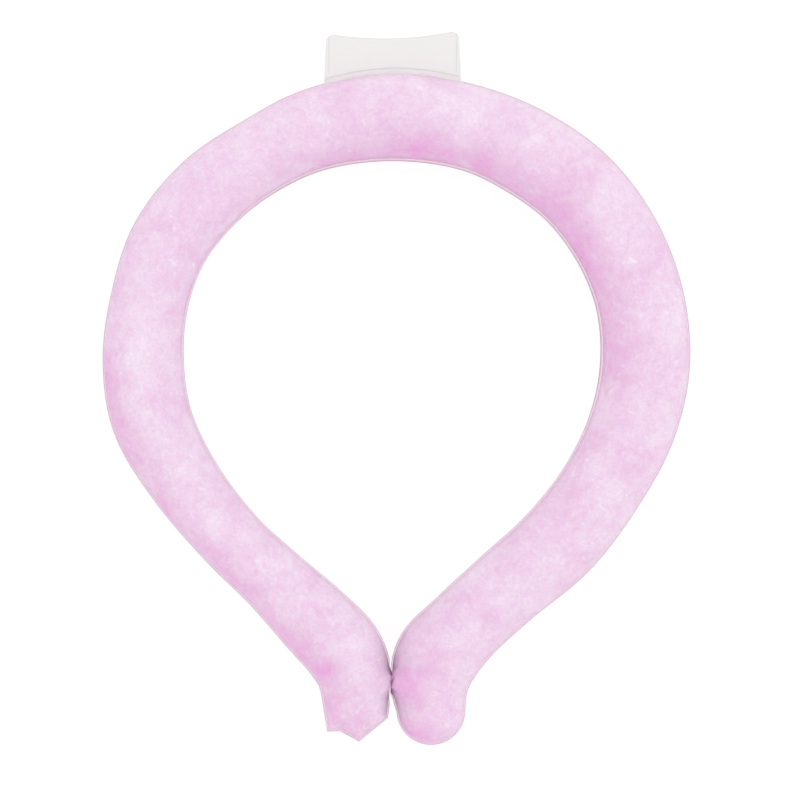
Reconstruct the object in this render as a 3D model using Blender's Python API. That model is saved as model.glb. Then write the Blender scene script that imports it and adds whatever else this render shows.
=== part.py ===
"""Cooling neck ring: two clear films welded rim to rim round a C-shaped cooling gel, with a tab at the back.

Metres, +Z up. The ring lies on its lower film with the neck opening facing up. +Y points to the back
of the neck, where the tab is, and the two tips meet at the front. The origin is the middle of the
whole ring's box, on the surface that it rests on.
"""
import math
from collections import namedtuple

import bmesh
import bpy
import numpy as np
from mathutils import Vector

# The ring seen from above
RING_WIDTH = 0.172       # outer edge to outer edge across the neck
RING_LENGTH = 0.1971     # back of the tube to the far end of the rounded tip
TUBE_WIDTH = 0.0255      # across the tube, weld rims included, where a section's width is 1
WELD_RIM = 0.0007        # flat rim where the two films are welded, outside the gel
TIP_GAP = 0.0004         # between the two tips, which press each other flat at the front

# The ring seen from the side
CROWN_HEIGHT = 0.0104    # seam up to the crown of the upper film
BELLY_DEPTH = 0.0092     # seam down to the surface that the ring rests on
BELLY_SLACK = 1.04       # how much deeper the belly would hang if the surface didn't press it flat

# The films and their fill
FILM_WALL = 0.0006
SEAM_GAP = 0.0003        # between the two welded films
FILL_GAP = 0.0003        # between the gel and the films round it

# The tab at the back of the neck
TAB_WIDTH = 0.0391
TAB_REACH = 0.0121       # back of the tube to the tab's corners
TAB_DIP = 0.0019         # how far the tab's free edge dips between its corners
TAB_SKEW = 0.0005        # how much further the right corner reaches than the left one
TAB_CORNER = 0.0019      # radius of the tab's corners
TAB_FLARE = 0.0008       # how far each side of the tab flares out where it joins the rim
TAB_OFFSET = 0.0003      # middle of the tab, to the right of where the tips meet

# One row for each section along the tube, from the sealed spout's tip round the back to the rounded
# tip. along: from the back of the neck, 0, to the tips, 1. spread: sideways, as a share of half the
# ring's span. gather: sideways again, as a share of the tube's width, for what leans on the other
# tip. width and height: shares of TUBE_WIDTH and CROWN_HEIGHT.
Section = namedtuple("Section", "along spread gather width height")
SECTIONS = (
    Section(0.98, 0.00, -0.403, 0.79, 0.84),
    Section(0.94, 0.00, -0.43, 0.87, 0.95),
    Section(0.90, -0.03, -0.465, 0.925, 1.00),
    Section(0.847, -0.188, -0.345, 0.90, 1.01),
    Section(0.778, -0.423, -0.15, 0.80, 1.00),
    Section(0.712, -0.64, 0.00, 0.78, 0.99),
    Section(0.61, -0.834, 0.00, 0.84, 1.00),
    Section(0.51, -0.96, 0.00, 0.93, 1.02),
    Section(0.41, -0.995, 0.00, 0.935, 1.02),
    Section(0.31, -0.97, 0.00, 0.90, 1.00),
    Section(0.21, -0.887, 0.00, 0.925, 1.00),
    Section(0.124, -0.72, 0.00, 0.93, 0.99),
    Section(0.064, -0.517, 0.00, 0.90, 0.99),
    Section(0.021, -0.30, 0.00, 0.955, 1.00),
    Section(0.00, 0.01, 0.00, 1.02, 1.01),
    Section(0.020, 0.325, 0.00, 0.99, 1.00),
    Section(0.061, 0.548, 0.00, 1.02, 0.99),
    Section(0.122, 0.747, 0.00, 1.03, 1.00),
    Section(0.21, 0.903, 0.00, 1.03, 1.01),
    Section(0.31, 0.995, 0.00, 1.025, 1.01),
    Section(0.42, 1.015, 0.00, 1.035, 1.00),
    Section(0.525, 0.96, 0.00, 1.01, 0.99),
    Section(0.625, 0.837, 0.00, 0.965, 1.00),
    Section(0.715, 0.672, 0.00, 0.97, 1.01),
    Section(0.796, 0.40, 0.15, 0.925, 1.01),
    Section(0.861, 0.17, 0.33, 0.925, 1.00),
    Section(0.912, 0.015, 0.475, 0.985, 1.00),
    Section(0.955, 0.00, 0.44, 0.91, 0.98),
    Section(1.00, 0.00, 0.453, 0.79, 0.94),
)

# Corners of the spout's cut end, from its neck side to its outer side, as shares of half the tube's
# width there: sideways towards the neck, and past the last section.
Corner = namedtuple("Corner", "across reach")
SPOUT_CUT = (
    Corner(0.86, 0.64),
    Corner(-0.05, 1.25),
    Corner(-0.57, 0.90),
    Corner(-0.945, 0.87),
)

# How finely the round shapes are faceted
TUBE_STEPS = 50          # stretches along the tube
ARC_STEPS = 6            # facets from the crown to the seam
TIP_STEPS = 8            # facets round the rounded tip
CUT_STEPS = 2            # facets along each side of the spout's cut end
TAB_STEPS = 8            # facets along the tab's free edge
CORNER_STEPS = 3         # facets round each corner of the tab
FINE_STEPS = 40          # points read between two sections before the stations are chosen
CREASE_ANGLE = math.radians(35)
MERGE_DISTANCE = 1e-6

# A station on the tube: its middle, the way along the tube, the way out from the neck, half its
# width and its height as a share of the crown's.
Station = namedtuple("Station", "middle onward outward half height")
# A spoke runs level from the tube's middle line to tip, the tube's outline with its weld rim. far is
# where the film ends: at tip, or further back on the tab's outline.
Spoke = namedtuple("Spoke", "foot tip far height")


def section_points():
    """Each section as x, y, half width and height, with the tips meeting at x = 0."""
    half_span = (RING_WIDTH - TUBE_WIDTH) / 2
    tip_radius = SECTIONS[-1].width * TUBE_WIDTH / 2
    run = RING_LENGTH - TUBE_WIDTH / 2 - tip_radius
    return np.array([
        (
            row.spread * half_span + row.gather * TUBE_WIDTH,
            -row.along * run,
            row.width * TUBE_WIDTH / 2,
            row.height,
        )
        for row in SECTIONS
    ])


def smooth_line(points, steps):
    """A centripetal Catmull-Rom curve through the points, with steps points for each stretch."""
    gaps = np.sqrt(np.linalg.norm(np.diff(points[:, :2], axis=0), axis=1))[:, None]
    slopes = np.diff(points, axis=0) / gaps
    inner = (slopes[:-1] * gaps[1:] + slopes[1:] * gaps[:-1]) / (gaps[:-1] + gaps[1:])
    tangents = np.vstack([slopes[:1], inner, slopes[-1:]])
    t = np.linspace(0, 1, steps, endpoint=False)[:, None]
    rise = t * t * (3 - 2 * t)
    stretches = [
        points[i] * (1 - rise)
        + points[i + 1] * rise
        + tangents[i] * gaps[i] * t * (1 - t) ** 2
        - tangents[i + 1] * gaps[i] * t * t * (1 - t)
        for i in range(len(points) - 1)
    ]
    return np.vstack([*stretches, points[-1:]])


def tube_stations():
    """The stations along the tube, evenly spaced, and closer together behind the tab."""
    line = smooth_line(section_points(), FINE_STEPS)
    steps = np.diff(line[:, :2], axis=0)
    travel = np.concatenate([[0], np.cumsum(np.linalg.norm(steps, axis=1))])
    onward = np.gradient(line[:, :2], travel, axis=0)
    onward /= np.linalg.norm(onward, axis=1)[:, None]
    outward = np.column_stack([-onward[:, 1], onward[:, 0]])
    rim_x = line[:, 0] + outward[:, 0] * line[:, 2]
    behind = line[:, 1] > -RING_LENGTH / 4
    columns = np.interp(tab_columns(), rim_x[behind], travel[behind])
    even = np.linspace(0, travel[-1], TUBE_STEPS + 1)
    margin = travel[-1] / TUBE_STEPS / 2
    clear = (even < columns[0] - margin) | (even > columns[-1] + margin)
    places = np.sort(np.concatenate([even[clear], columns]))
    read = [np.interp(places, travel, column) for column in (*line.T, *onward.T, *outward.T)]
    return [
        Station(Vector((x, y)), Vector((ax, ay)), Vector((ox, oy)), half, height)
        for x, y, half, height, ax, ay, ox, oy in zip(*read)
    ]


def tab_columns():
    """Where the tab's outline has a point, in x, with one more column past each side for its flare."""
    half = TAB_WIDTH / 2
    turns = [math.pi / 2 * i / CORNER_STEPS for i in range(CORNER_STEPS)]
    corner = [-half + TAB_CORNER * (1 - math.cos(turn)) for turn in turns]
    edge = np.linspace(-half + TAB_CORNER, half - TAB_CORNER, TAB_STEPS + 1)
    columns = [-half - TAB_FLARE, *corner, *edge, *[-x for x in reversed(corner)], half + TAB_FLARE]
    return TAB_OFFSET + np.array(columns)


def tab_edge(x):
    """How far back the tab's outline reaches at x, from the tube's middle line at the back."""
    half = TAB_WIDTH / 2
    across = (x - TAB_OFFSET) / half
    free = TUBE_WIDTH / 2 + TAB_REACH - TAB_DIP * (1 - across**2) + TAB_SKEW * across
    into_corner = max(0, abs(across) * half - half + TAB_CORNER)
    return free - TAB_CORNER + math.sqrt(max(0, TAB_CORNER**2 - into_corner**2))


def rim_spokes(stations):
    """Spokes all the way round the weld rim: outer side, rounded tip, neck side and cut spout."""
    first, last = stations[0], stations[-1]
    outer = [spoke(s, s.outward * s.half) for s in stations]
    inner = [spoke(s, -s.outward * s.half) for s in reversed(stations)]
    turns = [math.pi * i / TIP_STEPS for i in range(1, TIP_STEPS)]
    rounded = [
        spoke(last, (last.outward * math.cos(turn) + last.onward * math.sin(turn)) * last.half)
        for turn in turns
    ]
    corners = [Corner(1, 0), *SPOUT_CUT, Corner(-1, 0)]
    cut = []
    for here, there in zip(corners, corners[1:]):
        for i in range(CUT_STEPS):
            share = i / CUT_STEPS
            across = here.across + (there.across - here.across) * share
            reach = here.reach + (there.reach - here.reach) * share
            cut.append(spoke(first, (-first.outward * across - first.onward * reach) * first.half))
    return [with_tab(s) for s in outer] + rounded + inner + cut[1:]


def spoke(station, out):
    """A spoke from the station's middle, stopped short of the plane where the tips meet."""
    tip = station.middle + out
    at_front = station.middle.y < -RING_LENGTH / 2
    if at_front and station.middle.x < 0:
        tip.x = min(tip.x, -TIP_GAP / 2)
    elif at_front:
        tip.x = max(tip.x, TIP_GAP / 2)
    return Spoke(station.middle, tip, tip, station.height)


def with_tab(one):
    """The spoke, with its film run on to the tab's outline where the tab is."""
    at_back = one.tip.y > -RING_LENGTH / 2
    if not at_back or abs(one.tip.x - TAB_OFFSET) > (TAB_WIDTH + TAB_FLARE) / 2:
        return one
    return one._replace(far=Vector((one.tip.x, tab_edge(one.tip.x))))


def arc(one, inset, low, high, lowest=-math.inf):
    """Points on a quarter ellipse from over the spoke's foot, at high, to inset from its tip, at low."""
    length = (one.tip - one.foot).length
    reach = (one.tip - one.foot) * (1 - inset / length)
    turns = [math.pi / 2 * i / ARC_STEPS for i in range(ARC_STEPS + 1)]
    return [
        Vector((*(one.foot + reach * math.sin(turn)), max(lowest, low + (high - low) * math.cos(turn))))
        for turn in turns
    ]


def film_profile(one, outside, inside, outer_level, inner_level):
    """A film's section: its outside, out along the rim, back underneath it, and its inside."""
    rim = [Vector((*one.far, outer_level)), Vector((*one.far, inner_level))]
    return outside + rim + inside[::-1]


def upper_profile(one):
    crown = CROWN_HEIGHT * one.height
    bottom = SEAM_GAP / 2
    outside = arc(one, WELD_RIM, bottom + FILM_WALL, crown)
    inside = arc(one, WELD_RIM + FILM_WALL, bottom, crown - FILM_WALL)
    return film_profile(one, outside, inside, bottom + FILM_WALL, bottom)


def lower_profile(one):
    belly = -BELLY_DEPTH * BELLY_SLACK
    top = -SEAM_GAP / 2
    outside = arc(one, WELD_RIM, top - FILM_WALL, belly, lowest=-BELLY_DEPTH)
    inside = arc(one, WELD_RIM + FILM_WALL, top, belly + FILM_WALL, lowest=FILM_WALL - BELLY_DEPTH)
    return film_profile(one, outside, inside, top - FILM_WALL, top)


def gel_profile(one):
    skin = FILM_WALL + FILL_GAP
    over = arc(one, WELD_RIM + skin, 0, CROWN_HEIGHT * one.height - skin)
    under = arc(one, WELD_RIM + skin, 0, skin - BELLY_DEPTH * BELLY_SLACK, lowest=skin - BELLY_DEPTH)
    return over + under[-2::-1]


def closed_mesh(name, profiles):
    """A solid skinned over profiles that stand side by side round a closed rim.

    Each profile starts and ends over the tube's middle line, where it meets the one across the tube.
    """
    shape = bmesh.new()
    rows = [[shape.verts.new(point) for point in profile] for profile in profiles]
    for here, there in zip(rows, rows[1:] + rows[:1]):
        for k in range(len(here) - 1):
            shape.faces.new((here[k], there[k], there[k + 1], here[k + 1]))
    bmesh.ops.remove_doubles(shape, verts=shape.verts, dist=MERGE_DISTANCE)
    bmesh.ops.recalc_face_normals(shape, faces=shape.faces)
    mesh = bpy.data.meshes.new(name)
    shape.to_mesh(mesh)
    shape.free()
    return mesh


def plastic(name, colour, roughness, alpha=1.0):
    material = bpy.data.materials.new(name)
    material.use_nodes = True
    shader = material.node_tree.nodes["Principled BSDF"]
    shader.inputs["Base Color"].default_value = (*colour, 1.0)
    shader.inputs["Roughness"].default_value = roughness
    shader.inputs["Metallic"].default_value = 0.0
    shader.inputs["Alpha"].default_value = alpha
    return material


def add_piece(name, profiles, material, parent):
    mesh = closed_mesh(name, profiles)
    mesh.shade_smooth()
    mesh.set_sharp_from_angle(angle=CREASE_ANGLE)
    mesh.materials.append(material)
    piece = bpy.data.objects.new(name, mesh)
    bpy.context.scene.collection.objects.link(piece)
    piece.parent = parent
    return piece


def main():
    for thing in list(bpy.data.objects):
        bpy.data.objects.remove(thing)
    spokes = rim_spokes(tube_stations())
    outline = np.array([one.far for one in spokes])
    middle = (outline.min(axis=0) + outline.max(axis=0)) / 2
    seam = bpy.data.objects.new("seam", None)
    bpy.context.scene.collection.objects.link(seam)
    seam.location = (-middle[0], -middle[1], BELLY_DEPTH)
    film = plastic("clear_film", colour=(0.93, 0.88, 0.91), roughness=0.35, alpha=0.45)
    gel = plastic("pink_gel", colour=(0.88, 0.58, 0.80), roughness=0.55)
    add_piece("upper_film", [upper_profile(one) for one in spokes], film, seam)
    add_piece("lower_film", [lower_profile(one) for one in spokes], film, seam)
    add_piece("cooling_gel", [gel_profile(one) for one in spokes], gel, seam)


main()
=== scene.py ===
# %% [markdown]
# # A cooling neck ring
# The real ring is a springy C of wax-like cooling gel between two sheets of clear soft film. The sheets
# are welded rim to rim all the way round, and at the back they are left wide and welded flat as a tab.
# This lesson keeps the measured frame of the ring as it is and builds what the eye sees around it: the
# film with its true wall and weld, the cloudy gel inside, a white light table and soft studio light.

import math
from collections import namedtuple

import bmesh
import bpy
import numpy as np
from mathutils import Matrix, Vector


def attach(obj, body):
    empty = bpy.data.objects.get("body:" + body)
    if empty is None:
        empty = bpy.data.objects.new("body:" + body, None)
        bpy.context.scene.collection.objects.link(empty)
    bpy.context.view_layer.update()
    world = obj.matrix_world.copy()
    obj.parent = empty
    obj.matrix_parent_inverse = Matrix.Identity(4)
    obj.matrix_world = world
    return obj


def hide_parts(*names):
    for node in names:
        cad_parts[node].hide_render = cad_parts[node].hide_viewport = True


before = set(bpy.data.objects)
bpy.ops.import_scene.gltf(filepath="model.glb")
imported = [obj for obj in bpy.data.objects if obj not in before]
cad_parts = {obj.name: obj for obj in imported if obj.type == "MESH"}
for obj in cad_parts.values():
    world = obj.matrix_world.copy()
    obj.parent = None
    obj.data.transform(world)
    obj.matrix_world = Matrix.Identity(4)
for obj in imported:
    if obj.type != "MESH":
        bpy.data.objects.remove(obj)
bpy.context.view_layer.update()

# %% [markdown]
# ## Driving sizes
# The outline repeats the frame's own few sizes, so the dressed ring lies on the measured one. Only what
# the frame draws coarsely is finer here: the film's wall, the width of its weld and the gap at the tips.

# %% Sizes in metres
RING_WIDTH = 0.172       # outer edge to outer edge across the neck
RING_LENGTH = 0.1971     # back of the tube to the far end of the rounded tip
TUBE_WIDTH = 0.0255      # across the tube, weld included, where a section's width is 1
CROWN_HEIGHT = 0.0104    # seam up to the crown
BELLY_DEPTH = 0.0092     # seam down to the table
BELLY_SLACK = 1.04       # how much deeper the belly would hang if the table didn't press it flat
BELLY_EASE = 0.0006      # how softly the belly turns into its flat underside

FILM_WALL = 0.0004
SQUEEZED_WALL = 0.00015  # the same wall where the welding squeezed it, beside the weld
GEL_CLEARANCE = 0.00005
WELD_HALF = 0.0002       # half the thickness of the two welded sheets
WELD_FILLET = 0.0001     # height in which the tube turns into the weld
NARROW_WELD = 0.00025    # the weld as cut close round most of the tube
WIDE_WELD = 0.00055      # the weld left wider along the neck side, from the back to the right limb
WIDE_WELD_ENDS = (0.36, 0.80)  # where it is widest, in shares of the way from the cut tip to the round tip
TIP_GAP = 0.00002        # between the two tips where they press on each other
CONTACT_SHIFT = 0.00056  # from the middle plane to where the tips meet, on the cut tip's side
CONTACT_BULGE = 0.00105  # how far the cut tip bulges into the round one
CONTACT_PLACE = 0.1642   # of that bulge, from the tube's middle line at the back
CONTACT_SPAN = 0.0021    # half length of the bulge
SQUEEZE = 0.0034         # how much further each tip would reach there if the other didn't press it flat
SQUEEZE_PLACE = 0.1655   # of the middle of that press, from the same line
SQUEEZE_SPAN = 0.0031    # half length of the press

TAB_WIDTH = 0.0391
TAB_REACH = 0.0121       # back of the tube to the tab's corners
TAB_DIP = 0.0019         # how far the tab's free edge dips between its corners
TAB_SKEW = 0.0005        # how much further the right corner reaches than the left one
TAB_CORNER = 0.0027      # radius of the tab's corners
TAB_FLARE = 0.0005       # how far each side of the tab flares out where it joins the weld
TAB_OFFSET = 0.0003      # middle of the tab, to the right of where the tips meet
TAB_BAND = 0.0022        # strip along the tube that holds the crease, and keeps its width
TAB_CREASE = 0.0014      # the pressed crease, from the tube's edge
TAB_BORDER = 0.0008      # the pressed lines along the tab's two sides, in from its edges
PRESSED_HALF = 0.00015   # half the width of a pressed line
PRESSED_DEPTH = 0.00008
print("sizes set for a ring", RING_WIDTH * 1000, "mm wide")

# %% [markdown]
# ## The tube's route
# A tube could be a curve with a bevel, but this one changes its width and leans on itself at the tips.
# So it is described as a short table of sections from the cut spout round the back to the round tip,
# in shares of the sizes above, and a smooth curve is run through them.

# %% Sections along the tube
Section = namedtuple("Section", "along spread gather width height")
SECTIONS = (
    Section(0.98, 0.00, -0.403, 0.79, 0.84),
    Section(0.94, 0.00, -0.43, 0.87, 0.95),
    Section(0.90, -0.03, -0.465, 0.925, 1.00),
    Section(0.847, -0.188, -0.345, 0.90, 1.01),
    Section(0.778, -0.423, -0.15, 0.80, 1.00),
    Section(0.712, -0.64, 0.00, 0.78, 0.99),
    Section(0.61, -0.834, 0.00, 0.84, 1.00),
    Section(0.51, -0.96, 0.00, 0.93, 1.02),
    Section(0.41, -0.995, 0.00, 0.935, 1.02),
    Section(0.31, -0.97, 0.00, 0.90, 1.00),
    Section(0.21, -0.887, 0.00, 0.925, 1.00),
    Section(0.124, -0.72, 0.00, 0.93, 0.99),
    Section(0.064, -0.517, 0.00, 0.90, 0.99),
    Section(0.021, -0.30, 0.00, 0.955, 1.00),
    Section(0.00, 0.01, 0.00, 1.02, 1.01),
    Section(0.020, 0.325, 0.00, 0.99, 1.00),
    Section(0.061, 0.548, 0.00, 1.02, 0.99),
    Section(0.122, 0.747, 0.00, 1.03, 1.00),
    Section(0.21, 0.903, 0.00, 1.03, 1.01),
    Section(0.31, 0.995, 0.00, 1.025, 1.01),
    Section(0.42, 1.015, 0.00, 1.035, 1.00),
    Section(0.525, 0.96, 0.00, 1.01, 0.99),
    Section(0.625, 0.837, 0.00, 0.965, 1.00),
    Section(0.715, 0.672, 0.00, 0.97, 1.01),
    Section(0.796, 0.40, 0.15, 0.925, 1.01),
    Section(0.861, 0.17, 0.33, 0.925, 1.00),
    Section(0.912, 0.015, 0.475, 0.985, 1.00),
    Section(0.955, 0.00, 0.44, 0.91, 0.98),
    Section(1.00, 0.00, 0.453, 0.79, 0.94),
)
Corner = namedtuple("Corner", "across reach")
SPOUT_CUT = (
    Corner(0.86, 0.64),
    Corner(-0.05, 1.25),
    Corner(-0.57, 0.90),
    Corner(-0.945, 0.87),
)
FINE_STEPS = 60


def section_points():
    """Each section as x, y, half width and height."""
    half_span = (RING_WIDTH - TUBE_WIDTH) / 2
    tip_radius = SECTIONS[-1].width * TUBE_WIDTH / 2
    run = RING_LENGTH - TUBE_WIDTH / 2 - tip_radius
    return np.array([
        (
            row.spread * half_span + row.gather * TUBE_WIDTH,
            -row.along * run,
            row.width * TUBE_WIDTH / 2,
            row.height,
        )
        for row in SECTIONS
    ])


def smooth_line(points, steps):
    """A centripetal Catmull-Rom curve through the points, with steps points for each stretch."""
    gaps = np.sqrt(np.linalg.norm(np.diff(points[:, :2], axis=0), axis=1))[:, None]
    slopes = np.diff(points, axis=0) / gaps
    inner = (slopes[:-1] * gaps[1:] + slopes[1:] * gaps[:-1]) / (gaps[:-1] + gaps[1:])
    tangents = np.vstack([slopes[:1], inner, slopes[-1:]])
    t = np.linspace(0, 1, steps, endpoint=False)[:, None]
    rise = t * t * (3 - 2 * t)
    stretches = [
        points[i] * (1 - rise)
        + points[i + 1] * rise
        + tangents[i] * gaps[i] * t * (1 - t) ** 2
        - tangents[i + 1] * gaps[i] * t * t * (1 - t)
        for i in range(len(points) - 1)
    ]
    return np.vstack([*stretches, points[-1:]])


line = smooth_line(section_points(), FINE_STEPS)
travel = np.concatenate([[0], np.cumsum(np.linalg.norm(np.diff(line[:, :2], axis=0), axis=1))])
tube_length = travel[-1]
print(f"the tube's middle line is {tube_length * 1000:.0f} mm long")

# %% [markdown]
# ## Spokes
# The film is laid out from spokes: each runs level from the tube's middle line, its foot, to the edge of
# the weld, its tip. Behind the neck a spoke's film goes on to far, the tab's outline. Spokes round both
# ends close the loop, so one rule covers the tube, the round tip, the cut spout and the tab. Where the
# two tips meet, the real ones press each other flat. There the spokes reach a little too far on purpose,
# and the rule for the skin stops them at the surface where the tips meet.

# %% Places along the tube
TUBE_STRETCHES = 340
TAB_COLUMNS = 150
CORNER_COLUMNS = 18
ROUND_TIP_SPOKES = 56
CUT_SPOKES = 12          # along each side of the cut
Station = namedtuple("Station", "middle onward outward half height travel")


def tab_columns():
    """Where the tab's outline has a point, in x, with one more past each side for its flare."""
    half = TAB_WIDTH / 2
    turns = [math.pi / 2 * i / CORNER_COLUMNS for i in range(CORNER_COLUMNS)]
    corner = [-half + TAB_CORNER * (1 - math.cos(turn)) for turn in turns]
    edge = np.linspace(-half + TAB_CORNER, half - TAB_CORNER, TAB_COLUMNS + 1)
    columns = [-half - TAB_FLARE, *corner, *edge, *[-x for x in reversed(corner)], half + TAB_FLARE]
    return TAB_OFFSET + np.array(columns)


def tab_edge(x):
    """How far back the tab's outline reaches at x, from the tube's middle line at the back."""
    half = TAB_WIDTH / 2
    across = (x - TAB_OFFSET) / half
    free = TUBE_WIDTH / 2 + TAB_REACH - TAB_DIP * (1 - across**2) + TAB_SKEW * across
    into_corner = max(0, abs(across) * half - half + TAB_CORNER)
    return free - TAB_CORNER + math.sqrt(max(0, TAB_CORNER**2 - into_corner**2))


def tube_stations():
    """Stations evenly along the tube, and one for each of the tab's columns behind the tab."""
    onward = np.gradient(line[:, :2], travel, axis=0)
    onward /= np.linalg.norm(onward, axis=1)[:, None]
    outward = np.column_stack([-onward[:, 1], onward[:, 0]])
    rim_x = line[:, 0] + outward[:, 0] * line[:, 2]
    behind = line[:, 1] > -RING_LENGTH / 4
    columns = np.interp(tab_columns(), rim_x[behind], travel[behind])
    even = np.linspace(0, tube_length, TUBE_STRETCHES + 1)
    margin = tube_length / TUBE_STRETCHES / 2
    clear = (even < columns[0] - margin) | (even > columns[-1] + margin)
    places = np.sort(np.concatenate([even[clear], columns]))
    read = [np.interp(places, travel, column) for column in (*line.T, *onward.T, *outward.T)]
    return [
        Station(Vector((x, y)), Vector((ax, ay)), Vector((ox, oy)), half, height, place / tube_length)
        for x, y, half, height, ax, ay, ox, oy, place in zip(*read, places)
    ]


stations = tube_stations()
print(len(stations), "stations along the tube")

# %% Spokes round the whole weld
Spoke = namedtuple("Spoke", "foot tip far crown travel aside rim border limb")


def spoke(station, across, reach=0.0):
    """A spoke: across runs from -1 on the outer side to 1 on the neck side, reach is past the tube's end."""
    end = -1 if station is stations[0] else 1
    out = (station.onward * end * reach - station.outward * across) * station.half
    tip = station.middle + out
    limb = math.copysign(1, station.middle.x) if station.middle.y < -RING_LENGTH / 2 else 0
    if out.x * limb < 0:
        tip.x -= limb * SQUEEZE * math.exp(-(((-tip.y - SQUEEZE_PLACE) / SQUEEZE_SPAN) ** 4))
    place = station.travel + end * reach * station.half / tube_length
    rim = NARROW_WELD
    if across == 1:
        ease = [min(1, abs(place - at) / 0.05) for at in WIDE_WELD_ENDS]
        within = WIDE_WELD_ENDS[0] < place < WIDE_WELD_ENDS[1]
        rim += (WIDE_WELD - NARROW_WELD) * (min(ease) if within else 0)
    return Spoke(station.middle, tip, tip, station.height, place, across, rim, 0, limb)


def pressed_at(place, line_place):
    """1 in the middle of a pressed line, falling to 0 beside it."""
    return max(0, 1 - abs(place - line_place) / PRESSED_HALF / 1.5)


def with_tab(one):
    """The spoke, with its film run on to the tab's outline where the tab is."""
    at_back = one.tip.y > -RING_LENGTH / 2
    if not at_back or abs(one.tip.x - TAB_OFFSET) > (TAB_WIDTH + TAB_FLARE) / 2:
        return one
    border = pressed_at(TAB_WIDTH / 2 - abs(one.tip.x - TAB_OFFSET), TAB_BORDER)
    return one._replace(far=Vector((one.tip.x, tab_edge(one.tip.x))), border=border)


def all_spokes():
    outer = [with_tab(spoke(s, -1)) for s in stations]
    turns = [math.pi * i / ROUND_TIP_SPOKES for i in range(1, ROUND_TIP_SPOKES)]
    rounded = [spoke(stations[-1], -math.cos(turn), math.sin(turn)) for turn in turns]
    inner = [spoke(s, 1) for s in reversed(stations)]
    corners = [Corner(1, 0), *SPOUT_CUT, Corner(-1, 0)]
    cut = []
    for here, there in zip(corners, corners[1:]):
        for share in np.arange(CUT_SPOKES) / CUT_SPOKES:
            across = here.across + (there.across - here.across) * share
            cut.append(spoke(stations[0], across, here.reach + (there.reach - here.reach) * share))
    return outer + rounded + inner + cut[1:]


spokes = all_spokes()
outline = np.array([one.far for one in spokes])
middle = Vector((outline.min(axis=0) + outline.max(axis=0)) / 2)
print(len(spokes), "spokes, outline", (np.ptp(outline, axis=0) * 1000).round(1), "mm")

# %% [markdown]
# ## The rule for a skin
# The film's outside, its inside and the gel are one rule with three sections. Geometry Nodes suit that:
# the route is a closed curve whose points carry their spoke, a section is a short curve whose points say
# how far out and how high they lie, and Curve to Mesh crosses the two. One Set Position then puts every
# point where its spoke and its section say. Sizes are named inputs, so a thicker belly is one number.

# %% One small function adds a node
def add_node(tree, kind, inputs=None, **settings):
    """Adds a node with its settings. inputs maps a socket's name or number to a value, node or output."""
    node = tree.nodes.new(kind)
    for name, value in settings.items():
        setattr(node, name, value)
    for key, value in (inputs or {}).items():
        if isinstance(value, bpy.types.Node):
            value = next(output for output in value.outputs if output.enabled)
        if isinstance(value, bpy.types.NodeSocket):
            tree.links.new(value, node.inputs[key])
        else:
            node.inputs[key].default_value = value
    return node


# %% Curves that carry the spokes and the sections
def carrier(name, points, closed, attributes):
    """A line of edges through the points, with a named attribute for each list of numbers or vectors."""
    mesh = bpy.data.meshes.new(name)
    count = len(points)
    edges = [(i, (i + 1) % count) for i in range(count if closed else count - 1)]
    mesh.from_pydata([tuple(point) for point in points], edges, [])
    for key, values in attributes.items():
        vector = len(np.shape(values)) == 2
        layer = mesh.attributes.new(key, "FLOAT_VECTOR" if vector else "FLOAT", "POINT")
        layer.data.foreach_set("vector" if vector else "value", np.ravel(values).astype(np.float32))
    thing = bpy.data.objects.new(name, mesh)
    bpy.context.scene.collection.objects.link(thing)
    return thing


def level_point(point):
    return (point.x - middle.x, point.y - middle.y, BELLY_DEPTH)


route_points = {
    "foot": [level_point(one.foot) for one in spokes],
    "tip": [level_point(one.tip) for one in spokes],
    "far": [level_point(one.far) for one in spokes],
    "crown": [one.crown for one in spokes],
    "travel": [one.travel for one in spokes],
    "aside": [one.aside for one in spokes],
    "rim": [one.rim for one in spokes],
    "border": [one.border for one in spokes],
    "limb": [one.limb for one in spokes],
}
route = carrier("route", route_points["tip"], True, route_points)
print("route of", len(spokes), "points")

# %% Sections
# across: share of the spoke. lift and drop: shares of the crown's height and of the belly's depth.
# inset: in from the spoke's tip. ahead: fixed distance out on the tab. share: share of the rest of the
# tab. level: height over the seam. skin: depth below the film's outside. weld: 1 on the weld and the tab.
# crease: 1 in the pressed crease. edge: 1 on the rounded edge. side: 1 on the upper sheet, -1 on the lower.
SectionPoint = namedtuple("SectionPoint", "across lift drop inset ahead share level skin weld crease edge side")
OUTSIDE_STEPS = 20
INSIDE_STEPS = 12
GEL_STEPS = 22
EDGE_STEPS = 5
CREASE_ROWS = tuple(TAB_CREASE + PRESSED_HALF * step for step in (-2, -1, 0, 1, 2))
BAND_ROWS = (0.0004, 0.0008, *CREASE_ROWS, TAB_BAND)
TAB_ROWS = (0.12, 0.26, 0.42, 0.58, 0.72, 0.82, 0.88, 0.91, 0.935, 0.955, 0.975, 1.0)


def half_tube(skin, rim_level, inset, steps, upper):
    """The arc from the middle line out to the edge, over the tube or under it."""
    side = 1 if upper else -1
    turns = [math.pi / 2 * i / steps for i in range(steps + 1)]
    return [
        SectionPoint(
            across=math.sin(turn),
            lift=math.cos(turn) if upper else 0,
            drop=0 if upper else math.cos(turn),
            inset=inset,
            ahead=0,
            share=0,
            level=side * (rim_level * (1 - math.cos(turn)) - skin * math.cos(turn)),
            skin=skin,
            weld=0,
            crease=0,
            edge=0,
            side=side,
        )
        for turn in turns
    ]


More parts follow.
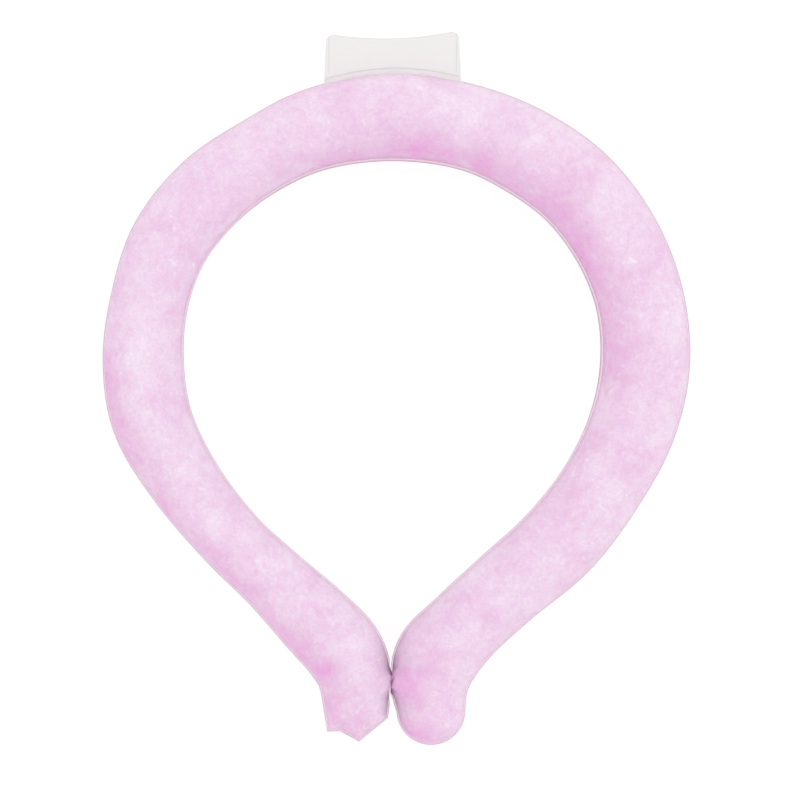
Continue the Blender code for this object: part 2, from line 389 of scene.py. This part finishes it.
def outside_section():
    """Over the crown, out along the weld or the tab, round its edge and back under the belly."""
    halves = []
    for upper in (True, False):
        side = 1 if upper else -1
        flat = SectionPoint(1, 0, 0, WELD_HALF, 0, 0, side * WELD_HALF, 0, 1, 0, 0, side)
        arc = half_tube(0, WELD_HALF + WELD_FILLET, 0, OUTSIDE_STEPS, upper)
        band = [flat._replace(ahead=row, crease=pressed_at(row, TAB_CREASE)) for row in BAND_ROWS]
        rest = [flat._replace(ahead=TAB_BAND, share=row) for row in TAB_ROWS]
        halves.append(arc + [flat] + band + rest)
    turns = [math.pi * i / EDGE_STEPS for i in range(1, EDGE_STEPS)]
    rim = flat._replace(ahead=TAB_BAND, share=1, edge=1, side=0)
    edge = [
        rim._replace(inset=WELD_HALF * (1 - math.sin(turn)), level=WELD_HALF * math.cos(turn)) for turn in turns
    ]
    return halves[0] + edge + halves[1][::-1]


def closed_section(skin, inset, steps):
    """A section of what is shut in: over, out to the seam and back under."""
    over = half_tube(skin, 0, inset, steps, True)
    under = half_tube(skin, 0, inset, steps, False)
    return over + under[-2::-1]


def section_carrier(name, rows):
    return carrier(
        name,
        [(i * 0.001, 0, 0) for i in range(len(rows))],
        False,
        {key: [getattr(row, key) for row in rows] for key in SectionPoint._fields},
    )


gel_skin = FILM_WALL + GEL_CLEARANCE
sections = {
    "film_outside": section_carrier("film_outside", outside_section()),
    "film_inside": section_carrier("film_inside", closed_section(FILM_WALL, SQUEEZED_WALL, INSIDE_STEPS)),
    "gel": section_carrier("gel_section", closed_section(gel_skin, SQUEEZED_WALL + GEL_CLEARANCE, GEL_STEPS)),
}
print({name: len(thing.data.vertices) for name, thing in sections.items()}, "points in the sections")

# %% The skin as a node tree
def skin_tree():
    tree = bpy.data.node_groups.new("skin_over_spokes", "GeometryNodeTree")
    face = tree.interface
    face.new_socket("Geometry", in_out="OUTPUT", socket_type="NodeSocketGeometry")
    face.new_socket("Geometry", in_out="INPUT", socket_type="NodeSocketGeometry")
    for name, kind in (
        ("Section", "NodeSocketObject"),
        ("Material", "NodeSocketMaterial"),
        ("Crown Height", "NodeSocketFloat"),
        ("Belly Depth", "NodeSocketFloat"),
        ("Belly Hang", "NodeSocketFloat"),
        ("Belly Ease", "NodeSocketFloat"),
        ("Band", "NodeSocketFloat"),
        ("Press", "NodeSocketFloat"),
        ("Contact X", "NodeSocketFloat"),
        ("Contact Y", "NodeSocketFloat"),
        ("Contact Span", "NodeSocketFloat"),
        ("Contact Bulge", "NodeSocketFloat"),
        ("Half Gap", "NodeSocketFloat"),
        ("Thinned", "NodeSocketFloat"),
        ("Lump Size", "NodeSocketFloat"),
        ("Lump Height", "NodeSocketFloat"),
    ):
        face.new_socket(name, in_out="INPUT", socket_type=kind)
    given = add_node(tree, "NodeGroupInput").outputs

    def math_of(operation, *values):
        return add_node(tree, "ShaderNodeMath", dict(enumerate(values)), operation=operation)

    def vector_of(operation, *values):
        return add_node(tree, "ShaderNodeVectorMath", dict(enumerate(values)), operation=operation)

    def read(name, kind="FLOAT"):
        return add_node(tree, "GeometryNodeInputNamedAttribute", {"Name": name}, data_type=kind)

    foot, tip, far = (read(name, "FLOAT_VECTOR") for name in ("foot", "tip", "far"))
    path = add_node(tree, "GeometryNodeMeshToCurve", {"Mesh": given["Geometry"]})
    section = add_node(tree, "GeometryNodeObjectInfo", {"Object": given["Section"]})
    profile = add_node(tree, "GeometryNodeMeshToCurve", {"Mesh": section.outputs["Geometry"]})
    skin = add_node(tree, "GeometryNodeCurveToMesh", {"Curve": path, "Profile Curve": profile})

    reach = vector_of("SUBTRACT", tip, foot)
    length = vector_of("LENGTH", reach)
    beside_weld = math_of("MULTIPLY", math_of("SUBTRACT", 1.0, read("weld")), read("rim"))
    inset = math_of("ADD", read("inset"), beside_weld)
    kept = math_of("SUBTRACT", 1.0, math_of("DIVIDE", inset, length.outputs["Value"]))
    share_out = math_of("MULTIPLY", read("across"), kept)
    out = add_node(tree, "ShaderNodeVectorMath", {0: reach, "Scale": share_out}, operation="SCALE")
    over = vector_of("SUBTRACT", far, tip)
    room = vector_of("LENGTH", over).outputs["Value"]
    rest = math_of("MAXIMUM", math_of("SUBTRACT", room, given["Band"]), 0.0)
    ahead = math_of("ADD", math_of("MINIMUM", read("ahead"), room), math_of("MULTIPLY", read("share"), rest))
    onto_tab = add_node(
        tree, "ShaderNodeVectorMath", {0: vector_of("NORMALIZE", over), "Scale": ahead}, operation="SCALE"
    )
    raised = math_of("MULTIPLY", math_of("MULTIPLY", read("lift"), read("crown")), given["Crown Height"])
    hung = math_of("MULTIPLY", read("drop"), given["Belly Hang"])
    level = math_of("ADD", read("level"), math_of("SUBTRACT", raised, hung))
    on_tab = math_of("MINIMUM", math_of("DIVIDE", room, given["Band"]), 1.0)
    beyond = math_of("GREATER_THAN", read("share"), 0.0)
    lines = math_of("MAXIMUM", read("crease"), math_of("MULTIPLY", read("border"), beyond))
    press = math_of("MULTIPLY", read("side"), given["Press"])
    level = math_of("SUBTRACT", level, math_of("MULTIPLY", math_of("MULTIPLY", lines, on_tab), press))
    lowest = math_of("SUBTRACT", read("skin"), given["Belly Depth"])
    rested = math_of("SMOOTH_MAX", level, lowest, given["Belly Ease"])
    flat = vector_of("ADD", vector_of("ADD", foot, out), onto_tab)
    at = add_node(tree, "ShaderNodeSeparateXYZ", {"Vector": flat}).outputs
    swing = math_of("DIVIDE", math_of("SUBTRACT", at["Y"], given["Contact Y"]), given["Contact Span"])
    fall = math_of("EXPONENT", math_of("MULTIPLY", math_of("MULTIPLY", swing, swing), -1.0))
    meeting = math_of("ADD", given["Contact X"], math_of("MULTIPLY", fall, given["Contact Bulge"]))
    kept_back = math_of("ADD", given["Half Gap"], math_of("MULTIPLY", read("skin"), given["Thinned"]))
    stopped_left = math_of("MINIMUM", at["X"], math_of("SUBTRACT", meeting, kept_back))
    stopped_right = math_of("MAXIMUM", at["X"], math_of("ADD", meeting, kept_back))
    x = at["X"]
    for on_limb, stopped in (
        (math_of("LESS_THAN", read("limb"), -0.5), stopped_left),
        (math_of("GREATER_THAN", read("limb"), 0.5), stopped_right),
    ):
        either = {"Switch": on_limb, "False": x, "True": stopped}
        x = add_node(tree, "GeometryNodeSwitch", either, input_type="FLOAT")
    place = add_node(tree, "ShaderNodeCombineXYZ", {"X": x, "Y": at["Y"], "Z": math_of("ADD", at["Z"], rested)})
    placed = add_node(tree, "GeometryNodeSetPosition", {"Geometry": skin, "Position": place})

    here = add_node(tree, "GeometryNodeInputPosition")
    scale = math_of("DIVIDE", 1.0, given["Lump Size"])
    noise = add_node(tree, "ShaderNodeTexNoise", {"Scale": scale, "Detail": 1.0, "Vector": here})
    swell = math_of("SUBTRACT", noise.outputs["Fac"], 0.5)
    bump = math_of("MULTIPLY", swell, math_of("MULTIPLY", given["Lump Height"], read("lift")))
    normal = add_node(tree, "GeometryNodeInputNormal")
    lumps = add_node(tree, "ShaderNodeVectorMath", {0: normal, "Scale": bump}, operation="SCALE")
    merged = add_node(tree, "GeometryNodeMergeByDistance", {"Geometry": placed, "Distance": 0.000002})
    lumpy = add_node(tree, "GeometryNodeSetPosition", {"Geometry": merged, "Offset": lumps})
    smooth = add_node(tree, "GeometryNodeSetShadeSmooth", {"Geometry": lumpy})
    real = add_node(tree, "GeometryNodeRealizeInstances", {"Geometry": smooth})
    dressed = add_node(tree, "GeometryNodeSetMaterial", {"Geometry": real, "Material": given["Material"]})
    add_node(tree, "NodeGroupOutput", {"Geometry": dressed})
    return tree


tree = skin_tree()
print(len(tree.nodes), "nodes in the skin's tree")


# %% [markdown]
# ## Wax gel that has set in clouds
# The filling is a phase-change gel: paraffin wax with a little dye, poured in warm. As it sets, fine
# crystals grow in clouds, so it looks like pink marble: whitish where crystals scatter the light, deeper
# where dyed wax shows. The clouds come from noise at the real sizes of the patches, and a few listed
# patches say where the eye sees the ring whiter or deeper. Some light travels a few millimetres through the
# wax before it comes out, so a part of the finish is subsurface scattering, red furthest and green least.

# %% Colours
def linear(hex_colour):
    """An sRGB colour such as F4D8ED as linear red, green and blue, with a full alpha."""
    parts = [int(hex_colour[i : i + 2], 16) / 255 for i in (0, 2, 4)]
    return (*[p / 12.92 if p <= 0.04045 else ((p + 0.055) / 1.055) ** 2.4 for p in parts], 1.0)


# The wax's colour by its share of dye, from crystals alone to dyed wax alone.
WAX = {0.0: "F3EDF5", 0.3: "EFDDED", 0.6: "E7C0DF", 0.8: "E6A6D9", 1.0: "F082DC"}
WAX_SHADE = "D2B4D0"     # between the crystals, where less light comes back
FILM_MILKY = "EEECEB"    # where two sheets are welded
FILM_VEIL = 0.02         # how much the clear film hides
FILM_PAINTED_GEL_GLOW = "F0C4DF"    # painted glow: the pink of the gel's light shining into the weld close to it
# painted glow: the saturated pink of light passing through the gel where the two tips press, put on the film
# there
FILM_CONTACT_PAINTED_GLOW = "E684D8"
FILM_LINE = "8E7A84"     # a pressed line, darker as painted shade of its groove, or a cut edge
print("wax from", WAX[0.0], "to", WAX[1.0])

# %% Shader helpers
def new_material(name):
    material = bpy.data.materials.new(name)
    material.use_nodes = True
    material.node_tree.nodes.clear()
    return material, material.node_tree


def shader_math(tree, operation, *values):
    return add_node(tree, "ShaderNodeMath", dict(enumerate(values)), operation=operation)


def shader_noise(tree, place, size, detail=2.0, roughness=0.5, distortion=0.0, kind="FBM"):
    """Noise whose patches are about size metres across."""
    settings = {"Scale": 1 / size, "Detail": detail, "Roughness": roughness, "Distortion": distortion}
    noise = add_node(tree, "ShaderNodeTexNoise", {"Vector": place}, noise_type=kind)
    for name, value in settings.items():
        noise.inputs[name].default_value = value
    return noise.outputs["Fac"]


def spread(tree, value, low, high, start=-1.0, end=1.0):
    """The value's range from low to high, spread over start to end."""
    limits = {"Value": value, "From Min": low, "From Max": high, "To Min": start, "To Max": end}
    return add_node(tree, "ShaderNodeMapRange", limits).outputs["Result"]


def mix(tree, share, first, second):
    """The first colour, with a share of the second."""
    mixed = add_node(tree, "ShaderNodeMix", {0: share, 6: first, 7: second}, data_type="RGBA")
    return mixed.outputs[2]


def total(tree, *values):
    """All the values added up."""
    result = values[0]
    for value in values[1:]:
        result = shader_math(tree, "ADD", result, value)
    return result


# The dye without noise, and how far each size of noise moves it, in shares of WAX.
DYE = 0.29
CLOUD_DYE = 0.10         # soft clouds of 11 mm
MOTTLE_DYE = 0.09        # patches of 4 mm
CURD_DYE = 0.10          # curds of 1.5 mm
FEATHER_DYE = -0.12      # white feathers of 2 mm
HAZE = 0.34              # the most of WAX_SHADE, in specks of 0.7 mm


def wax_gel():
    material, tree = new_material("paraffin_gel_set_in_clouds")
    place = add_node(tree, "ShaderNodeTexCoord").outputs["Object"]
    # the listed patches for each point, partly painted light, with painted shade added on the flank away from
    # the lamp
    patches_and_painted_light = add_node(tree, "ShaderNodeAttribute", attribute_name="patches_and_painted_light").outputs["Fac"]
    clouds = spread(tree, shader_noise(tree, place, 0.011, 3.0, 0.55, 0.5), 0.3, 0.7)
    mottle = spread(tree, shader_noise(tree, place, 0.0040, 3.0, 0.6, 0.8), 0.3, 0.7)
    curds = spread(tree, shader_noise(tree, place, 0.0015, 3.0, 0.7, 1.2), 0.3, 0.7)
    feathers = spread(tree, shader_noise(tree, place, 0.0020, 4.0, 0.6, 0.6, "RIDGED_MULTIFRACTAL"), 0.2, 0.8)
    dye = total(
        tree,
        DYE,
        shader_math(tree, "MULTIPLY", clouds, CLOUD_DYE),
        shader_math(tree, "MULTIPLY", mottle, MOTTLE_DYE),
        shader_math(tree, "MULTIPLY", curds, CURD_DYE),
        shader_math(tree, "MULTIPLY", feathers, FEATHER_DYE),
        patches_and_painted_light,
    )
    ramp = add_node(tree, "ShaderNodeValToRGB", {"Fac": dye})
    stops = ramp.color_ramp.elements
    while len(stops) < len(WAX):
        stops.new(0.5)
    for stop, (position, colour) in zip(stops, WAX.items()):
        stop.position = position
        stop.color = linear(colour)
    haze = spread(tree, shader_noise(tree, place, 0.0007, 2.0, 0.7, 0.5), 0.3, 0.7, 0.0, HAZE)
    wax = add_node(
        tree,
        "ShaderNodeBsdfPrincipled",
        {
            "Base Color": mix(tree, haze, ramp.outputs["Color"], linear(WAX_SHADE)),
            "Roughness": 0.6,
            "Subsurface Weight": 0.5,
            "Subsurface Radius": (0.005, 0.0015, 0.004),
            "Subsurface Scale": 1.0,
        },
    )
    add_node(tree, "ShaderNodeOutputMaterial", {"Surface": wax})
    return material


gel_look = wax_gel()
print("gel material:", gel_look.name)

# %% [markdown]
# ## Clear film
# The film is a soft TPU sheet, about 0.4 mm thick, with a satin face from the rollers that made it. Over
# the gel it hides almost nothing. Where two sheets are welded they lose their clearness, so the rim and the
# tab read as a milky grey-white line and strip. The mesh carries four values: how much the film hides; a
# painted pink glow, the gel's light that shines into the weld and the film's sides; the darkening of the cut
# edges and of the pressed lines, which on the lines is painted shade of their grooves; and a painted pink glow
# where the tips press.

# %% Film material
def clear_film():
    material, tree = new_material("tpu_film_satin_rolled")
    milk, painted_gel_glow, pressed, contact = (
        add_node(tree, "ShaderNodeAttribute", attribute_name=name).outputs["Fac"]
        for name in ("milk", "painted_gel_glow", "pressed", "contact")
    )
    colour = mix(tree, painted_gel_glow, linear(FILM_MILKY), linear(FILM_PAINTED_GEL_GLOW))
    colour = mix(tree, pressed, colour, linear(FILM_LINE))
    # painted glow where the tips press
    colour = mix(tree, contact, colour, linear(FILM_CONTACT_PAINTED_GLOW))
    film = add_node(
        tree,
        "ShaderNodeBsdfPrincipled",
        {
            "Base Color": colour,
            "Roughness": 0.42,
            "IOR": 1.45,
            "Specular IOR Level": 0.25,
            "Alpha": milk,
        },
    )
    add_node(tree, "ShaderNodeOutputMaterial", {"Surface": film})
    return material


film_look = clear_film()
print("film material:", film_look.name)

# %% [markdown]
# ## Growing the pieces
# Each skin is grown by the tree, then taken over as a plain mesh. The film's outside and inside go into one
# mesh with the inside turned over, which makes it a true closed wall; the gel is a closed body of its own.

# %% Grow a skin
def grow(section, material, lump_height):
    """The skin of one section round the whole route, as a bmesh whose faces look outwards."""
    thing = bpy.data.objects.new("growing", route.data)
    bpy.context.scene.collection.objects.link(thing)
    modifier = thing.modifiers.new("skin", "NODES")
    modifier.node_group = tree
    keys = {item.name: item.identifier for item in tree.interface.items_tree if item.in_out == "INPUT"}
    inputs = {
        "Section": sections[section],
        "Material": material,
        "Crown Height": CROWN_HEIGHT,
        "Belly Depth": BELLY_DEPTH,
        "Belly Hang": BELLY_DEPTH * BELLY_SLACK,
        "Belly Ease": BELLY_EASE,
        "Band": TAB_BAND,
        "Press": PRESSED_DEPTH,
        "Contact X": -CONTACT_SHIFT - middle.x,
        "Contact Y": -CONTACT_PLACE - middle.y,
        "Contact Span": CONTACT_SPAN,
        "Contact Bulge": CONTACT_BULGE,
        "Half Gap": TIP_GAP / 2,
        "Thinned": SQUEEZED_WALL / FILM_WALL,
        "Lump Size": LUMP_SIZE,
        "Lump Height": lump_height,
    }
    for name, value in inputs.items():
        modifier[keys[name]] = value
    graph = bpy.context.evaluated_depsgraph_get()
    mesh = bpy.data.meshes.new_from_object(thing.evaluated_get(graph), depsgraph=graph)
    bpy.data.objects.remove(thing)
    skin = bmesh.new()
    skin.from_mesh(mesh)
    if skin.calc_volume(signed=True) < 0:
        bmesh.ops.reverse_faces(skin, faces=skin.faces)
    return skin, mesh


def settle(name, skin, mesh, look):
    """The finished piece. look turns what the skin was made from into the values that its finish reads."""
    open_edges = sum(1 for edge in skin.edges if len(edge.link_faces) != 2)
    volume = skin.calc_volume(signed=True) * 1e6
    print(f"{name}: {len(skin.faces)} faces, {volume:.1f} cm3, {open_edges} open edges")
    skin.to_mesh(mesh)
    skin.free()
    count = len(mesh.vertices)
    made_from = {}
    for key in (*route_points, *SectionPoint._fields):
        layer = mesh.attributes[key]
        vector = layer.data_type == "FLOAT_VECTOR"
        values = np.empty(count * (3 if vector else 1), np.float32)
        layer.data.foreach_get("vector" if vector else "value", values)
        made_from[key] = values.reshape(-1, 3) if vector else values
    place = np.empty(count * 3, np.float32)
    mesh.vertices.foreach_get("co", place)
    made_from["place"] = place.reshape(-1, 3)
    for key in (*route_points, *SectionPoint._fields):
        mesh.attributes.remove(mesh.attributes[key])
    for key, values in look(made_from).items():
        mesh.attributes.new(key, "FLOAT", "POINT").data.foreach_set("value", values.astype(np.float32))
    thing = bpy.data.objects.new(name, mesh)
    bpy.context.scene.collection.objects.link(thing)
    return thing


# %% [markdown]
# ## Patches and flanks
# Noise alone puts its clouds anywhere. On the ring as it is lit, the neck side behind the neck and the outer
# side of the left limb look deeper, and whiter bands lie along the limbs. Much of this is painted here. A flank
# that looks away from the lamp is coloured a deeper pink, which is painted shade. A short list of soft patches
# does the rest: partly the wax's own whiter and deeper clouds, partly painted light. These values are worked
# out from each point's spoke and section, so they follow the tube wherever it runs.

# %% Where the ring looks whiter or deeper
# x and y from the middle of the ring in metres, radius in metres, and the dye added or taken away.
# The patches are partly the wax's own clouds and partly painted light: a painted highlight that whitens the
# bright band along the limbs, and painted shade that deepens their shaded sides and the tips' contact.
Cloud = namedtuple("Cloud", "x y radius dye")
CLOUDS_AND_PAINTED_LIGHT = (
    Cloud(0.0045, 0.0735, 0.0075, 0.12),
    Cloud(-0.0020, 0.0870, 0.0070, -0.08),
    Cloud(0.0190, 0.0830, 0.0080, -0.14),
    Cloud(-0.0150, 0.0780, 0.0060, 0.10),
    Cloud(-0.0350, 0.0660, 0.0050, 0.10),
    Cloud(-0.0540, 0.0450, 0.0060, 0.08),
    Cloud(0.0500, 0.0600, 0.0070, 0.12),
    Cloud(0.0660, 0.0350, 0.0080, 0.10),
    Cloud(0.0660, 0.0080, 0.0110, 0.14),
    Cloud(0.0790, 0.0150, 0.0070, -0.08),
    Cloud(0.0600, -0.0150, 0.0070, 0.12),
    Cloud(0.0500, -0.0300, 0.0080, 0.14),
    Cloud(0.0380, -0.0430, 0.0060, 0.10),
    Cloud(0.0640, -0.0330, 0.0060, -0.08),
    Cloud(0.0270, -0.0670, 0.0040, 0.14),
    Cloud(0.0100, -0.0740, 0.0080, 0.10),
    Cloud(0.0080, -0.0960, 0.0060, 0.12),
    Cloud(-0.0840, 0.0080, 0.0050, 0.10),
    Cloud(-0.0770, 0.0090, 0.0080, -0.13),
    Cloud(-0.0760, 0.0250, 0.0070, -0.10),
    Cloud(-0.0720, -0.0240, 0.0070, -0.12),
    Cloud(-0.0560, -0.0430, 0.0100, -0.08),
    Cloud(-0.0200, -0.0820, 0.0035, 0.24),
    Cloud(-0.0180, -0.0990, 0.0050, -0.14),
    # painted glow: the bright pink of light through the gel where the tips press
    Cloud(0.0030, -0.0850, 0.0065, 0.30),
)
# painted shade: the flank that faces away from the soft box is coloured a deeper pink, the way the shaded side
# of the wax looks
AWAY_FROM_LAMP = Vector((-0.6, -0.8))  # the level direction in which the flank of the tube is deepest
PAINTED_SHADE_SHARE = 0.27


def faded(places, x, y, radius):
    """1 at x, y, fading out softly with the distance."""
    return np.exp(-((np.hypot(places[:, 0] - x, places[:, 1] - y) / radius) ** 2))


def smooth_step(values, low, high):
    share = np.clip((values - low) / (high - low), 0, 1)
    return share * share * (3 - 2 * share)


def flank(made_from):
    """How far each point lies out on the flank that faces away from the lamp, from -1 to 1; that flank gets
    painted shade.
    """
    reach = (made_from["tip"] - made_from["foot"])[:, :2]
    reach /= np.maximum(np.linalg.norm(reach, axis=1), 1e-9)[:, None]
    return reach @ np.array(AWAY_FROM_LAMP) * made_from["across"]


def gel_look_values(made_from):
    places = made_from["place"]
    # the listed patches: partly the wax's own clouds, partly painted highlight and shade
    patches_and_painted_light = sum(one.dye * faded(places, one.x, one.y, one.radius) for one in CLOUDS_AND_PAINTED_LIGHT)
    # painted shade: a deeper pink added on the flank that faces away from the lamp
    return {"patches_and_painted_light": patches_and_painted_light + PAINTED_SHADE_SHARE * smooth_step(flank(made_from), 0.0, 0.95)}


CONTACT_MIDDLE = Vector((-0.0010, -0.0853))
CONTACT_LINE = 0.0003    # half width of the line where the tips press
CONTACT_LENGTH = 0.0048  # half length of that line
CONTACT_CLEAR = 0.0065   # painted light: how far round it the weld is made clearer, so the shaded valley there reads lighter
FILM_VEILS = {"weld": 0.85, "band": 0.8, "edge": 0.3, "press": 0.3, "clear": 0.4}


def contact_press(places):
    """1 where the two tips press on each other, fading out within half a millimetre of that surface."""
    along = places[:, 1] + middle.y + CONTACT_PLACE
    meeting = -CONTACT_SHIFT - middle.x + CONTACT_BULGE * np.exp(-((along / CONTACT_SPAN) ** 2))
    from_it = np.abs(places[:, 0] - meeting)
    from_middle = places[:, 1] - CONTACT_MIDDLE.y
    return np.exp(-((from_it / CONTACT_LINE) ** 2)) * np.exp(-((from_middle / CONTACT_LENGTH) ** 4))


def film_look_values(made_from):
    weld, across, edge = made_from["weld"], made_from["across"], made_from["edge"]
    from_side = TAB_WIDTH / 2 + 1.5 * TAB_FLARE - np.abs(made_from["tip"][:, 0] + middle.x - TAB_OFFSET)
    on_tab = (from_side > 0) & (made_from["tip"][:, 1] > 0.06) & (made_from["aside"] < 0)
    band = (made_from["ahead"] < TAB_CREASE) & (made_from["share"] == 0)
    press = contact_press(made_from["place"])
    milk = np.where(on_tab & band, FILM_VEILS["band"], FILM_VEILS["weld"]) * weld
    # painted light: the weld is made clearer round the contact, so the shaded valley there reads lighter
    from_contact = np.linalg.norm(made_from["place"][:, :2] - np.array(CONTACT_MIDDLE), axis=1)
    away = 1 - np.exp(-((from_contact / CONTACT_CLEAR) ** 4))
    milk *= FILM_VEILS["clear"] + (1 - FILM_VEILS["clear"]) * away
    # the film's sides are made partly opaque so that the painted pink glow shows where they are seen edge-on
    milk = np.maximum(milk, FILM_VEILS["edge"] * across**30 * away)
    # painted glow: the film is made partly opaque where the tips press, so that its painted pink shows
    milk = np.maximum(milk, FILM_VEILS["press"] * press)
    milk = np.where(made_from["skin"] > 0, 0, np.maximum(milk, FILM_VEIL))
    # painted glow: the weld and the film's sides take the pink of the gel's light shining into them, except on
    # the tab
    painted_gel_glow = np.where(on_tab & (weld > 0), 0, 1.0) * np.maximum(weld, across**10)
    # the crease and the border lines are coloured darker, painted shade of their shallow grooves; the cut edges
    # and the narrow weld are coloured darker too
    lines = np.maximum(made_from["crease"], made_from["border"] * (made_from["share"] > 0))
    wide = (made_from["rim"] - NARROW_WELD) / (WIDE_WELD - NARROW_WELD)
    on_rim = (0.15 + 0.8 * wide) * edge + 0.15 * (1 - wide) * weld
    on_lines = (0.3 - 0.15 * made_from["border"]) * lines * weld
    pressed = np.where(on_tab, np.maximum(on_lines, 0.3 * edge), on_rim)
    return {"milk": milk, "painted_gel_glow": painted_gel_glow, "pressed": pressed, "contact": press}


print(len(CLOUDS_AND_PAINTED_LIGHT), "clouds")

# %% [markdown]
# ## The two pieces
# The gel is soft and fills its film tightly. Both pieces get the same soft
# lumps, half a millimetre high, so the film follows the gel under it everywhere.

# %% The gel
LUMP_SIZE = 0.012
LUMP_HEIGHT = 0.0005
gel_skin_mesh, gel_mesh = grow("gel", gel_look, LUMP_HEIGHT)
gel = settle("gel", gel_skin_mesh, gel_mesh, gel_look_values)
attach(gel, "root")
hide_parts("cooling_gel")

# %% The film
outside, film_mesh = grow("film_outside", film_look, LUMP_HEIGHT)
inside, inside_mesh = grow("film_inside", film_look, LUMP_HEIGHT)
bmesh.ops.reverse_faces(inside, faces=inside.faces)
inside.to_mesh(inside_mesh)
inside.free()
outside.from_mesh(inside_mesh)
film = settle("film", outside, film_mesh, film_look_values)
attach(film, "root")
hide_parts("upper_film", "lower_film")
for helper in (route, *sections.values()):
    bpy.data.objects.remove(helper)

# %% [markdown]
# ## Light table, soft box and camera
# A product page shows such a ring straight from above, on pure white with no shadow. In a studio that is
# done on a light table: a white top that glows evenly and swallows the shadow. A wide soft box overhead and
# a bright room light the ring from everywhere else, so its colours read as they are.

# %% Light table
FLOOR_SIZE = 6.0
FLOOR_CLEARANCE = 0.0001
half_floor = FLOOR_SIZE / 2
floor_mesh = bpy.data.meshes.new("table")
ways = ((-1, -1), (1, -1), (1, 1), (-1, 1))
floor_corners = [(x * half_floor, y * half_floor, -FLOOR_CLEARANCE) for x, y in ways]
floor_mesh.from_pydata(floor_corners, [], [(0, 1, 2, 3)])
floor = bpy.data.objects.new("table", floor_mesh)
bpy.context.scene.collection.objects.link(floor)
table_look, table_tree = new_material("table_opal_acrylic_lit")
table_top = add_node(
    table_tree,
    "ShaderNodeBsdfPrincipled",
    {
        "Base Color": linear("6A6A6A"),
        "Roughness": 0.9,
        "Specular IOR Level": 0.0,
        "Emission Color": linear("FFFFFF"),
        "Emission Strength": 0.88,
    },
)
add_node(table_tree, "ShaderNodeOutputMaterial", {"Surface": table_top})
floor_mesh.materials.append(table_look)
print("table", FLOOR_SIZE, "m wide")

# %% Light
world = bpy.data.worlds.new("bright_room")
world.use_nodes = True
room = world.node_tree
room.nodes.clear()
glow = add_node(room, "ShaderNodeBackground", {"Color": linear("FFFFFF"), "Strength": 1.0})
add_node(room, "ShaderNodeOutputWorld", {"Surface": glow})
bpy.context.scene.world = world
soft_box = bpy.data.lights.new("soft_box", "AREA")
soft_box.shape = "SQUARE"
soft_box.size = 1.6
soft_box.energy = 4.0
lamp = bpy.data.objects.new("soft_box", soft_box)
lamp.location = (0.4, 0.5, 1.5)
bpy.context.scene.collection.objects.link(lamp)
print("soft box", soft_box.size, "m wide,", soft_box.energy, "W")

# %% Camera
CAMERA_HEIGHT = 1.0      # above the tube's seam
VIEW_WIDTH = 0.2348      # what the square picture shows at the seam's level
VIEW_MIDDLE = (0.00103, -0.003375)
SENSOR = 36.0
lens = bpy.data.cameras.new("camera")
lens.sensor_width = SENSOR
lens.lens = SENSOR * CAMERA_HEIGHT / VIEW_WIDTH
lens.clip_start = 0.1
lens.clip_end = 10.0
camera = bpy.data.objects.new("camera", lens)
camera.location = (*VIEW_MIDDLE, BELLY_DEPTH + CAMERA_HEIGHT)
bpy.context.scene.collection.objects.link(camera)
bpy.context.scene.camera = camera
bpy.context.scene.view_settings.view_transform = "Standard"
print("camera lens", round(lens.lens, 1), "mm")
